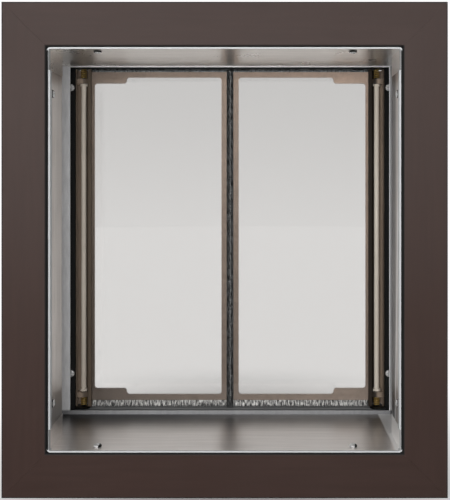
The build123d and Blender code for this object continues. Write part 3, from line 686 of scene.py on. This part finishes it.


# Painted shade: the top strips use a darker, bluish copy of the grey fibre and the meeting strips a near-black
# one; pile_dark is also the head seal's black pile.
pile_grey = pile_finish("pile_grey", (0.05, 0.05, 0.05), (0.90, 0.885, 0.86))
pile_top_shaded = pile_finish("pile_top_shaded", (0.04, 0.045, 0.048), (0.42, 0.45, 0.47))
pile_dark = pile_finish("pile_dark", (0.012, 0.012, 0.012), (0.11, 0.112, 0.112))
rng = np.random.default_rng(7)
PILE_BACK, BACKING_WIDE = 0.8 * MM, 6.2 * MM
ROOT_WIDE, TIP_WIDE = 5.0 * MM, 3.6 * MM
BRISTLES_PER_MM = 34
MEETING_X, MEETING_REACH = 4.0 * MM, 0.39 * MM
fibres = {"top": pile_top_shaded, "bottom": pile_grey, "meeting": pile_dark}
for side, s in (("left", -1), ("right", 1)):
    for end, fibre in fibres.items():
        low, high = (np.array(c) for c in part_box(f"pile_{end}_{side}"))
        upright = end == "meeting"
        length = high[2] - low[2] if upright else high[0] - low[0]
        tall = high[0] - low[0] + MEETING_REACH if upright else high[2] - low[2]
        ragged, blunt = (0.02, 0.95) if upright else (0.14, 0.8)
        count = int(length / MM * BRISTLES_PER_MM)
        points, quads = bristles(count, length, tall, PILE_BACK, ROOT_WIDE, TIP_WIDE, ragged, blunt, rng)
        backing, backing_quads = ribbon(length, BACKING_WIDE, PILE_BACK)
        quads = np.concatenate([quads, backing_quads + len(points)])
        along, across, up = np.concatenate([points, backing]).T
        if upright:
            placed = [s * MEETING_X - s * up, HINGE_Y + across, low[2] + along]
        elif end == "top":
            placed = [low[0] + along, HINGE_Y + across, low[2] + up]
        else:
            placed = [low[0] + along, HINGE_Y + across, high[2] - up]
        strip = add_piece(f"bristle_{end}_{side}", np.stack(placed, -1), quads, fibre, f"leaf_{side}", "pile")
        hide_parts(f"pile_{end}_{side}")


# Head seal: a strip of black pile stuck under the head bar, behind the closed leaves, against light above them.
# Its tips stay just above the leaves' own seals, so that the leaves pass below it both ways.
SEAL_TIP, SEAL_Y, SEAL_X = 446.85 * MM, 61.2 * MM, 176.0 * MM
SEAL_ROOT_WIDE, SEAL_TIP_WIDE, SEAL_BACKING_WIDE = 4.4 * MM, 4.0 * MM, 5.0 * MM
SEAL_BRISTLES = 6000
bar_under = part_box("head_bar")[0][2]
tall = bar_under - SEAL_TIP
ragged, blunt = 0.1, 0.9
points, quads = bristles(
    SEAL_BRISTLES, 2 * SEAL_X, tall, 0.5 * tall, SEAL_ROOT_WIDE, SEAL_TIP_WIDE, ragged, blunt, rng,
)
backing, backing_quads = ribbon(2 * SEAL_X, SEAL_BACKING_WIDE, 0.6 * tall)
quads = np.concatenate([quads, backing_quads + len(points)])
along, across, up = np.concatenate([points, backing]).T
placed = np.stack([along - SEAL_X, SEAL_Y + across, bar_under - up], -1)
add_piece("bristle_head", placed, quads, pile_dark, "frame", "pile")


# Stage: a pale floor that the frames stand on, fading to a white surround, with soft lights above, in front and
# behind. The surround is white to the eye, and a little dimmer upwards through the panes; what mirrors it sees a
# softer one, brighter above than below.
FLOOR_RINGS, FLOOR_SIDES, FLOOR_DROP = np.array([0.0, 0.4, 0.8, 1.4, 2.2, 4.0]), 48, 0.2 * MM
floor_mesh = bpy.data.meshes.new("floor")
floor_r, floor_a = polar_grid(FLOOR_RINGS, FLOOR_SIDES)
floor_points = np.stack([floor_r * np.cos(floor_a), floor_r * np.sin(floor_a), 0 * floor_r - FLOOR_DROP], -1)
floor_quads = ring_quads(len(FLOOR_RINGS), FLOOR_SIDES)
floor_mesh.from_pydata(floor_points.reshape(-1, 3).tolist(), [], floor_quads.tolist())
bm = bmesh.new()
bm.from_mesh(floor_mesh)
bmesh.ops.remove_doubles(bm, verts=bm.verts, dist=MERGE)
for face in bm.faces:
    if face.normal.z < 0:
        face.normal_flip()
bm.to_mesh(floor_mesh)
bm.free()
floor = bpy.data.objects.new("floor", floor_mesh)
bpy.context.scene.collection.objects.link(floor)
SHADED_TO, WHITE_FROM = 0.05, 0.45
FRONT_TO_BACK = (-0.1, 0.1)
pale, tree, shader, place = finish("pale_floor", 0.0, 0.9, (0.82, 0.82, 0.82))
far = tree.nodes.new("ShaderNodeVectorMath")
far.operation = "LENGTH"
tree.links.new(place, far.inputs[0])
path = tree.nodes.new("ShaderNodeLightPath")
through = path.outputs["Is Transmission Ray"]
bounced = reckon(tree, "GREATER_THAN", path.outputs["Glossy Depth"], 0.5)
bounced = reckon(tree, "MULTIPLY", bounced, step_along(tree, place, "Y", *FRONT_TO_BACK, 1.0, 0.0))
mirrored = reckon(tree, "MULTIPLY", through, bounced)
seen = reckon(tree, "MAXIMUM", path.outputs["Is Camera Ray"], reckon(tree, "SUBTRACT", through, mirrored))
away = ramp(tree, far.outputs["Value"], SHADED_TO, WHITE_FROM, 0.0, 1.0)
white_share = reckon(tree, "MULTIPLY", seen, away)
dim_share = reckon(tree, "MAXIMUM", path.outputs["Is Glossy Ray"], mirrored)
white = tree.nodes.new("ShaderNodeEmission")
dim = tree.nodes.new("ShaderNodeEmission")
dim.inputs["Color"].default_value = (0.12, 0.12, 0.12, 1)
under = tree.nodes.new("ShaderNodeMixShader")
tree.links.new(dim_share, under.inputs[0])
tree.links.new(shader.outputs[0], under.inputs[1])
tree.links.new(dim.outputs[0], under.inputs[2])
blend = tree.nodes.new("ShaderNodeMixShader")
tree.links.new(white_share, blend.inputs[0])
tree.links.new(under.outputs[0], blend.inputs[1])
tree.links.new(white.outputs[0], blend.inputs[2])
tree.links.new(blend.outputs[0], tree.nodes["Material Output"].inputs["Surface"])
floor_mesh.materials.append(pale)

world = bpy.data.worlds.new("studio")
bpy.context.scene.world = world
world.use_nodes = True
tree = world.node_tree
tree.nodes.clear()
way = axes_of(tree, tree.nodes.new("ShaderNodeTexCoord").outputs["Generated"])
above = ramp(tree, way["Z"], -0.38, 0.28, 0.06, 1.15)
facing = ramp(tree, way["Y"], -0.75, -0.4, 0.55, 0.06)
aside = ramp(tree, way["X"], -0.45, 0.45, 1.08, 0.84)
behind = ramp(tree, way["Y"], 0.45, 0.95, 0.0, 0.3)
front = reckon(tree, "MULTIPLY", above, reckon(tree, "MULTIPLY", facing, aside))
soft = reckon(tree, "MAXIMUM", front, behind)
path = tree.nodes.new("ShaderNodeLightPath")
straight = reckon(tree, "LESS_THAN", path.outputs["Glossy Depth"], 0.5)
straight = reckon(tree, "MAXIMUM", straight, ramp(tree, way["Y"], *FRONT_TO_BACK, 0.0, 1.0))
beyond = reckon(tree, "MULTIPLY", path.outputs["Is Transmission Ray"], straight)
seen = reckon(tree, "MAXIMUM", path.outputs["Is Camera Ray"], beyond)
plain = tree.nodes.new("ShaderNodeBackground")
plain.inputs["Color"].default_value = (1, 1, 1, 1)
tree.links.new(soft, plain.inputs["Strength"])
bright = tree.nodes.new("ShaderNodeBackground")
bright.inputs["Color"].default_value = (1, 1, 1, 1)
through = tree.nodes.new("ShaderNodeMix")
through.inputs[2].default_value = 1.0
tree.links.new(path.outputs["Is Transmission Ray"], through.inputs[0])
tree.links.new(ramp(tree, way["Z"], -0.2, 0.2, 1.0, 0.74), through.inputs[3])
tree.links.new(through.outputs[0], bright.inputs["Strength"])
blend = tree.nodes.new("ShaderNodeMixShader")
tree.links.new(seen, blend.inputs[0])
tree.links.new(plain.outputs[0], blend.inputs[1])
tree.links.new(bright.outputs[0], blend.inputs[2])
out = tree.nodes.new("ShaderNodeOutputWorld")
tree.links.new(blend.outputs[0], out.inputs["Surface"])

AIM_AT = np.array([0.0, 0.0, 0.25])
for name, spot, wide, tall, watts in (
    ("soft_above", (-0.4, -1.6, 1.7), 2.0, 1.2, 5.0),
    ("soft_front", (-0.3, -1.9, 0.36), 2.2, 0.64, 34.0),
    ("soft_behind", (-0.6, 1.9, 0.9), 2.0, 1.0, 16.0),
):
    lamp = bpy.data.lights.new(name, "AREA")
    lamp.shape = "RECTANGLE"
    lamp.size, lamp.size_y = wide, tall
    lamp.energy = watts
    lit = bpy.data.objects.new(name, lamp)
    lit.location = spot
    lit.visible_glossy = False
    lit.visible_transmission = False
    aim = AIM_AT - np.array(spot)
    tilt = math.atan2(math.hypot(aim[0], aim[1]), -aim[2])
    lit.rotation_euler = (tilt, 0, math.atan2(aim[1], aim[0]) - math.pi / 2)
    bpy.context.scene.collection.objects.link(lit)


# Camera: level, 700 mm in front of the trim, right of its centre and above it, its frame shifted to the door.
# At the trim's front face one millimetre covers about one pixel of the photograph.
VIEW_X, VIEW_Y, VIEW_Z = 37.5 * MM, -772.0 * MM, 319.0 * MM
SENSOR, FOCUS_PIXELS, FRAME_PIXELS = 36.0, 701.4, 500
SHIFT_PIXELS = (-37.15, -71.1)
camera = bpy.data.cameras.new("camera")
camera.lens = SENSOR * FOCUS_PIXELS / FRAME_PIXELS
camera.shift_x, camera.shift_y = (shift / FRAME_PIXELS for shift in SHIFT_PIXELS)
camera.clip_start = 0.01
eye = bpy.data.objects.new("camera", camera)
eye.location = (VIEW_X, VIEW_Y, VIEW_Z)
eye.rotation_euler = (math.pi / 2, 0, 0)
bpy.context.scene.collection.objects.link(eye)
bpy.context.scene.camera = eye
bpy.context.scene.view_settings.view_transform = "Standard"
